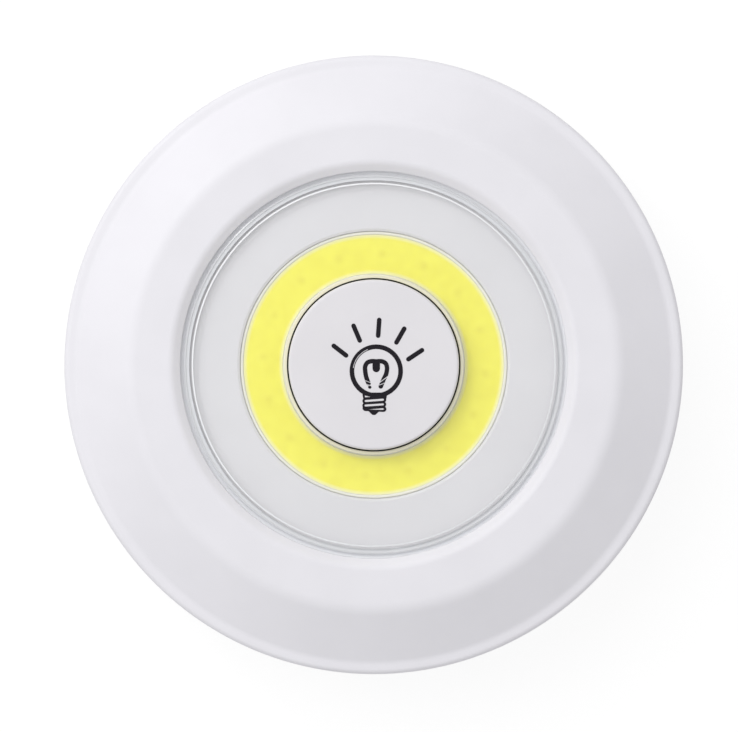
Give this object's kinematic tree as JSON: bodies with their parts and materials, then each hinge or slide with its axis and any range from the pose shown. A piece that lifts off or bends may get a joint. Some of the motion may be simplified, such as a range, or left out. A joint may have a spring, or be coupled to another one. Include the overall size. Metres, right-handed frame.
{
  "type": "under cabinet light",
  "caption": "Round battery light for the underside of a cabinet: an LED ring round a push button, in a head that twists off a stick-on mounting plate.",
  "frame": {"origin": "centre of the outer face of the foam mounting pad", "axes": "+Z away from the surface that the light is stuck to, the way the light shines; the cells lie along X"},
  "size_m": [0.086, 0.086, 0.0243],
  "materials": {
    "shell": "white moulded ABS, satin",
    "base_shell": "white moulded ABS, fine matte texture",
    "button": "white moulded ABS, satin",
    "inner_plastic": "white moulded ABS, unfinished inner faces",
    "reflector": "white matte reflector plastic",
    "clear_lens": "clear polycarbonate",
    "phosphor": "yellow phosphor in silicone",
    "silicone": "white silicone",
    "led_board": "aluminium circuit board with white lacquer",
    "black_plastic": "black moulded nylon",
    "steel": "zinc-plated steel",
    "contact": "nickel-plated spring steel",
    "circuit_board": "green solder mask on glass epoxy",
    "chip": "black moulded epoxy",
    "capacitor": "tan ceramic",
    "cell_sleeve": "printed shrink sleeve, plain",
    "wire_red": "red PVC insulation",
    "wire_black": "black PVC insulation",
    "foam": "white closed-cell foam with adhesive faces"
  },
  "bodies": {
    "base": {"base_plate": "base_shell", "adhesive_pad": "foam"},
    "head": {"front_housing": "shell", "lens": "clear_lens", "reflector_ring": "reflector", "phosphor_ring": "phosphor", "cob_inner_dam": "silicone", "cob_outer_dam": "silicone", "cob_board": "led_board", "led_carrier": "inner_plastic", "switch_body": "black_plastic", "switch_cover": "steel", "main_board": "circuit_board", "control_chip": "chip", "driver_transistor": "chip", "resistor_1": "chip", "resistor_2": "chip", "resistor_3": "chip", "capacitor_1": "capacitor", "capacitor_2": "capacitor", "battery_tray": "inner_plastic", "battery_cell_1": "cell_sleeve", "battery_cell_2": "cell_sleeve", "battery_cell_3": "cell_sleeve", "positive_contact": "contact", "negative_contact": "contact", "bridge_contact_left": "contact", "bridge_contact_right": "contact", "cell_spring_1": "contact", "cell_spring_2": "contact", "cell_spring_3": "contact", "battery_wire_red": "wire_red", "battery_wire_black": "wire_black", "led_wire_red": "wire_red", "led_wire_black": "wire_black", "carrier_screw_1": "steel", "carrier_screw_2": "steel", "carrier_screw_3": "steel", "tray_screw_1": "steel", "tray_screw_2": "steel", "tray_screw_3": "steel", "tray_screw_4": "steel", "board_screw_1": "steel", "board_screw_2": "steel"},
    "button": {"push_button": "button", "switch_stem": "black_plastic"}
  },
  "joints": [
    {"name": "head_twist", "type": "hinge", "parent": "base", "child": "head", "pos_m": [0, 0, 0], "axis": [0, 0, 1], "range_deg": [0, 30]},
    {"name": "button_press", "type": "slide", "parent": "head", "child": "button", "axis": [0, 0, -1], "range_m": [0, 0.0007], "stiffness_N_per_m": 2000}
  ]
}
